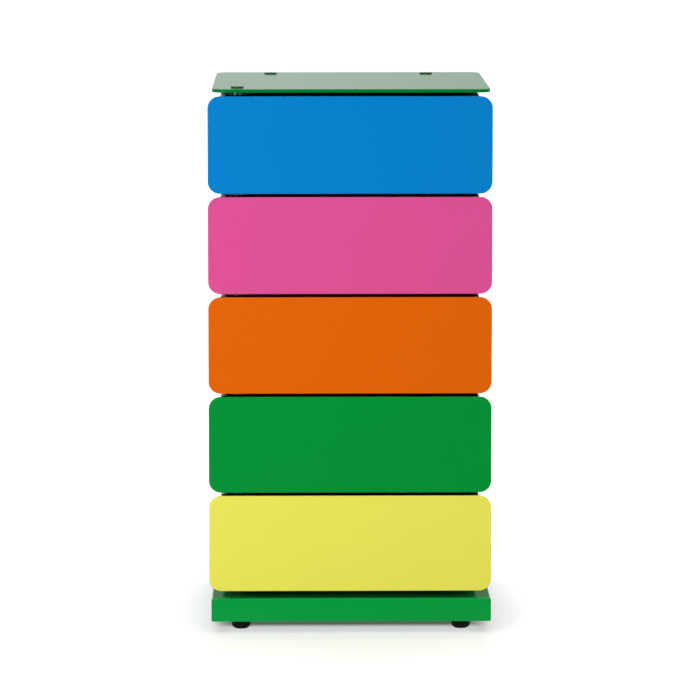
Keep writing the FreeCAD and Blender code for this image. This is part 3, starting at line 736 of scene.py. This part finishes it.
def make_foot(corner):
    """A bowl-shaped glide with the spigot of its threaded stud in it."""
    node, stud = "foot_pad_" + corner, "foot_stud_" + corner
    low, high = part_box(node)
    radius, height = (high.x - low.x) / 2, high.z - low.z
    profile = [
        (0, 0),
        (radius, 0),
        (radius, height),
        (PAD_RECESS, height),
        (PAD_RECESS, PAD_FLOOR),
        (0, PAD_FLOOR),
    ]
    pad = turned(axis_of(node), profile, [(2, PAD_TOP_EDGE), (1, PAD_BOWL)])
    piece(node + "_glide", node, [pad], [FOOT_BLACK])

    collar_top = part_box("foot_rail_left")[0].z
    centre, top = axis_of(stud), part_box(stud)[1].z
    spigot = bar(SPIGOT_RADIUS, high.z - centre.z + BURR, SPIGOT_STEPS)
    stand(spigot, centre, UP)
    collar = hexagon(NUT_ACROSS, collar_top - high.z)
    stand(collar, Vector((centre.x, centre.y, high.z)), UP)
    thread = threaded(Vector((centre.x, centre.y, collar_top - BURR)), top - collar_top + BURR)
    piece(stud + "_thread", stud, [spigot, collar, thread], [ZINC])


def threaded(centre, length):
    """A stud with grooves that follow each other at the pitch."""
    crest, root = BOLT_SHANK_RADIUS, BOLT_SHANK_RADIUS - THREAD_DEPTH
    turns = int(length / THREAD_PITCH)
    profile = [(0, 0)]
    for turn in range(turns):
        profile += [(root, turn * THREAD_PITCH), (crest, (turn + 0.5) * THREAD_PITCH)]
    profile += [(root, turns * THREAD_PITCH), (root, length), (0, length)]
    return turned(centre, profile, segments=SMALL_STEPS)


def make_nuts():
    low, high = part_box("foot_nuts")
    nuts = []
    for corner in FOOT_CORNERS:
        place = axis_of("foot_stud_" + corner)
        nut = hexagon(NUT_ACROSS, high.z - low.z, BOLT_SHANK_RADIUS + NUT_BORE_GAP)
        stand(nut, Vector((place.x, place.y, low.z)), UP)
        nuts.append(nut)
    piece("foot_nuts_set", "foot_nuts", nuts, [ZINC])


# Drawers


def lug_places(node):
    """The four screw places of a front, on the plane of its back face."""
    low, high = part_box(node)
    middle = Vector(((low.x + high.x) / 2, low.y + PANEL_THICKNESS, (low.z + high.z) / 2))
    return [
        middle + RIGHT * across * LUG_ACROSS / 2 + UP * up * LUG_UP / 2
        for up in (-1, 1)
        for across in (-1, 1)
    ]


def make_front(colour):
    """A flat panel with round corners, softened edges and four lugs on its back."""
    node = colour + "_front"
    low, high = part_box(node)
    panel = block(low, Vector((high.x, low.y + PANEL_THICKNESS, high.z)))
    round_edges(panel, edges_along(panel, BACK), PANEL_CORNER, 14)
    round_edges(panel, face_towards(panel, FRONT).edges, PANEL_EDGE, 4)
    round_edges(panel, face_towards(panel, BACK).edges, PANEL_BACK_EDGE, 2)
    reach = high.y - low.y - PANEL_THICKNESS
    profile = [(0, -BURR), (LUG_RADIUS, -BURR), (LUG_RADIUS, reach), (0, reach)]
    lugs = [
        turned(place, profile, [(2, SMALL_EDGE)], segments=SMALL_STEPS, axis=BACK)
        for place in lug_places(node)
    ]
    name = colour + "_panel"
    finish = moulded(name + " plastic", PANEL_COLOURS[colour], 0.12, 0.6 * MM, 0.003 * MM, 0.012)
    piece(name + "_face", node, [panel] + lugs, [finish])


def tray_shell(low, high):
    """A box with rounded corners, hollowed from above with drafted walls and under its floor."""
    bm = block(low, high)
    round_edges(bm, edges_along(bm, UP), TRAY_CORNER, 8)
    depth = high.z - low.z - TRAY_FOOT - TRAY_WALL
    floor = push(bm, inset(bm, face_towards(bm, UP), TRAY_WALL), -depth)
    narrow(bm, floor, depth * math.tan(DRAFT))
    floor_level = floor.calc_center_median().z
    push(bm, inset(bm, face_towards(bm, DOWN), TRAY_WALL), -TRAY_FOOT)
    round_edges(bm, corners_at(bm, floor_level), TRAY_FLOOR_EDGE, 4)
    round_edges(bm, corners_at(bm, high.z), TRAY_RIM_EDGE, 3)
    outer = [
        edge
        for edge in corners_at(bm, low.z)
        if all(on_outline(vert.co, low, high) for vert in edge.verts)
    ]
    round_edges(bm, outer, TRAY_LOWER_EDGE, 2)
    return bm


def on_outline(point, low, high):
    """Whether a point lies on the rounded outline of a tray, seen from above."""
    inner_x = min(point.x - low.x, high.x - point.x)
    inner_y = min(point.y - low.y, high.y - point.y)
    if inner_x > TRAY_CORNER or inner_y > TRAY_CORNER:
        return min(inner_x, inner_y) < BURR
    return math.hypot(TRAY_CORNER - inner_x, TRAY_CORNER - inner_y) > TRAY_CORNER - BURR


def hub(foot, length):
    """The tube that turns on the pivot post, with the seats of its two bushes."""
    seats = [
        (BUSH_SEAT, 0),
        (HUB_RADIUS, 0),
        (HUB_RADIUS, length),
        (BUSH_SEAT, length),
        (BUSH_SEAT, length - BUSH_FLANGE_THICKNESS),
        (BUSH_BORE_SEAT, length - BUSH_FLANGE_THICKNESS),
        (BUSH_BORE_SEAT, length - BUSH_LENGTH),
        (HUB_BORE, length - BUSH_LENGTH),
        (HUB_BORE, BUSH_LENGTH),
        (BUSH_BORE_SEAT, BUSH_LENGTH),
        (BUSH_BORE_SEAT, BUSH_FLANGE_THICKNESS),
        (BUSH_SEAT, BUSH_FLANGE_THICKNESS),
    ]
    return turned(foot, seats, [(1, HUB_EDGE), (2, HUB_EDGE)], segments=HUB_STEPS)


def make_tray(colour):
    """The shell with ribs under its floor, and the hub with its webs to the front wall."""
    node = colour + "_tray"
    low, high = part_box(node)
    shell_low = Vector((low.x, low.y, low.z + HUB_DROP + TRAY_LIFT))
    shell_high = Vector((high.x, high.y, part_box(colour + "_front")[1].z - TRAY_RIM_DROP))
    solids = [tray_shell(shell_low, shell_high)]
    inner = TRAY_WALL / 2
    for number in range(1, RIB_COUNT + 1):
        y = low.y + (high.y - low.y) * number / (RIB_COUNT + 1)
        rib_low = Vector((low.x + inner, y - RIB / 2, shell_low.z))
        rib_high = Vector((high.x - inner, y + RIB / 2, shell_low.z + TRAY_FOOT + BURR))
        solids.append(block(rib_low, rib_high))
    for side in (-1, 1):
        x = PIVOT.x + side * WEB_SPACING / 2
        web_low = Vector((x - WEB / 2, low.y + inner, shell_low.z + TRAY_FOOT))
        web_high = Vector((x + WEB / 2, PIVOT.y - HUB_RADIUS / 2, shell_high.z - HUB_DROP))
        solids.append(block(web_low, web_high))
    solids.append(finished(hub(Vector((PIVOT.x, PIVOT.y, low.z)), high.z - low.z), 1))
    piece(colour + "_tray_moulding", node, solids, [TRAY_BLACK, GLOSS_BLACK])


def make_bushes(colour):
    """Two flanged bushes, one from each end of the hub."""
    low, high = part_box(colour + "_bushes")
    profile = [
        (BUSH_BORE, 0),
        (BUSH_FLANGE, 0),
        (BUSH_FLANGE, BUSH_FLANGE_THICKNESS),
        (BUSH_SLEEVE, BUSH_FLANGE_THICKNESS),
        (BUSH_SLEEVE, BUSH_LENGTH),
        (BUSH_BORE, BUSH_LENGTH),
    ]
    lower = turned(Vector((PIVOT.x, PIVOT.y, low.z)), profile, [(1, SMALL_EDGE)])
    upper = turned(Vector((PIVOT.x, PIVOT.y, high.z)), profile, [(1, SMALL_EDGE)], axis=DOWN)
    piece(colour + "_bushes_pair", colour + "_bushes", [lower, upper], [BUSH_WHITE])


def make_screws(colour):
    """Pan heads on a flange, with a hexagon socket, along the inside of the tray's front wall."""
    node = colour + "_front_screws"
    low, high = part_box(node)
    seat_y = high.y - SCREW_FLANGE - SCREW_HEAD_HEIGHT
    solids = []
    for place in lug_places(colour + "_front"):
        seat = Vector((place.x, seat_y, place.z))
        flange = bar(SCREW_FLANGE_RADIUS, SCREW_FLANGE, SPIGOT_STEPS)
        round_edges(flange, face_towards(flange, UP).edges, SMALL_EDGE, 2)
        stand(flange, seat, BACK)
        head = socket_head(
            SCREW_HEAD_RADIUS,
            SCREW_HEAD_HEIGHT,
            SCREW_HEAD_EDGE,
            SCREW_SOCKET,
            SCREW_SOCKET_DEPTH,
            SMALL_STEPS,
        )
        stand(head, seat + BACK * SCREW_FLANGE, BACK)
        shank = bar(SCREW_SHANK_RADIUS, seat_y - low.y, SHANK_STEPS)
        stand(shank, seat, FRONT)
        solids += [flange, head, shank]
    piece(node + "_set", node, solids, [ZINC])


# Studio


def make_floor():
    """A pale sweep that keeps the tower's shadow, with a painted glow that goes to plain white away
    from it, painted shadow under the pan and painted light beside it.
    """
    bm = bmesh.new()
    bmesh.ops.create_circle(bm, cap_ends=True, segments=ROUND_STEPS, radius=FLOOR_RADIUS)
    mesh = bpy.data.meshes.new("floor")
    bm.to_mesh(mesh)
    bm.free()
    floor = bpy.data.objects.new("floor", mesh)
    bpy.context.scene.collection.objects.link(floor)
    settings = {"Roughness": 0.9, "Specular IOR Level": 0.1, "Emission Strength": 1}
    material, graph, shader = new_finish("pale sweep", settings)
    place = graph.place()
    depth = graph.along(place, "Y")
    reach = graph.node("VectorMath", {"operation": "LENGTH"}, {0: place}, "Value")
    camera, glossy, through = graph.rays()
    behind = graph.ramp(depth, FLOOR_BEHIND)

    # painted glow: dimmed under the pan as painted shadow, lifted along the pan's front edge and full
    # beside the tower and away from it as painted light
    away = graph.ramp(reach, FLOOR_AWAY)
    offset = graph.node("Math", {"operation": "ABSOLUTE"}, {0: graph.along(place, "X")})
    beside = graph.ramp(offset, FLOOR_BESIDE)
    front_glow = graph.ramp(depth, PAN_FRONT_RISE) * FRONT_GLOW
    under_front = front_glow - graph.ramp(depth, PAN_FRONT_FALL) * FRONT_DIM
    inside = (1 - graph.ramp(offset, PAN_SIDE_FALL)) * (1 - graph.ramp(reach, PAN_REACH_FALL))
    near = under_front * inside + beside * BESIDE_GLOW
    glow = SHADE_GLOW + near * (1 - away) + away * AWAY_GLOW
    seen = camera + through + glossy * behind
    graph.feed(shader.inputs["Emission Color"], graph.blend(seen * glow, BLACK, WHITE))
    # to gloss from the front the floor is painted grey, a painted darkening of its reflection
    dimmed = glossy * (1 - behind)
    colour = graph.blend(dimmed, linear(*FLOOR_WHITE), linear(*FLOOR_GREY))
    graph.feed(shader.inputs["Base Color"], colour)
    mesh.materials.append(material)


def make_world():
    """White all round for the eye and for gloss from behind; a plain grey light on the tower."""
    world = bpy.data.worlds.new("studio")
    bpy.context.scene.world = world
    graph = Graph(world)
    camera, glossy, through = graph.rays()
    direction = graph.node("TexCoord", {}, {}, "Generated")
    height = graph.along(direction, "Z")
    right = graph.ramp(graph.along(direction, "X"), RIGHT_DIM_RISE)
    behind = graph.ramp(graph.along(direction, "Y"), GLOSS_BEHIND) * (1 - right * RIGHT_DIM)
    horizon = HORIZON_GLOSS - graph.ramp(height, GLOSS_FALL) * (HORIZON_GLOSS - ALOFT_GLOSS)
    seen = camera + through + glossy * (behind * horizon + FRONT_GLOSS)
    above = graph.ramp(height, OVERHEAD_RISE)
    lighting = (1 - camera - through - glossy) * (AMBIENT + above * OVERHEAD)
    background = graph.nodes["Background"]
    background.inputs["Color"].default_value = WHITE
    graph.feed(background.inputs["Strength"], seen + lighting)


def make_softbox(name, place, width, height, power):
    light = bpy.data.lights.new(name, "AREA")
    light.shape = "RECTANGLE"
    light.size, light.size_y = width, height
    light.energy = power
    lamp = bpy.data.objects.new(name, light)
    lamp.location = place
    lamp.rotation_euler = (SOFTBOX_AIM - place).to_track_quat("-Z", "Y").to_euler()
    lamp.visible_camera = False
    lamp.visible_glossy = name != HIDDEN_FROM_GLOSS
    bpy.context.scene.collection.objects.link(lamp)


def make_camera():
    camera = bpy.data.cameras.new("camera")
    camera.lens = CAMERA_LENS
    camera.sensor_width = CAMERA_SENSOR
    camera.clip_end = CAMERA_CLIP
    tripod = bpy.data.objects.new("camera", camera)
    tripod.location = CAMERA_PLACE
    tripod.rotation_euler = (math.pi / 2 - CAMERA_PITCH, 0, -CAMERA_YAW)
    bpy.context.scene.collection.objects.link(tripod)
    bpy.context.scene.camera = tripod


def make_studio():
    make_floor()
    make_world()
    for name, (place, width, height, power) in SOFTBOXES.items():
        make_softbox(name, place, width, height, power)
    make_camera()
    bpy.context.scene.view_settings.view_transform = "Standard"


# The whole tower

make_base_pan()
make_top_plate()
for rail_node in ("foot_rail_left", "foot_rail_right"):
    make_rail(rail_node)
for post_node, (post_finish, post_slot) in POSTS.items():
    make_post(post_node, post_finish)
make_bolts()
make_rings()
for foot_corner in FOOT_CORNERS:
    make_foot(foot_corner)
make_nuts()
for drawer_colour in COLOURS:
    make_front(drawer_colour)
    make_tray(drawer_colour)
    make_bushes(drawer_colour)
    make_screws(drawer_colour)
make_studio()
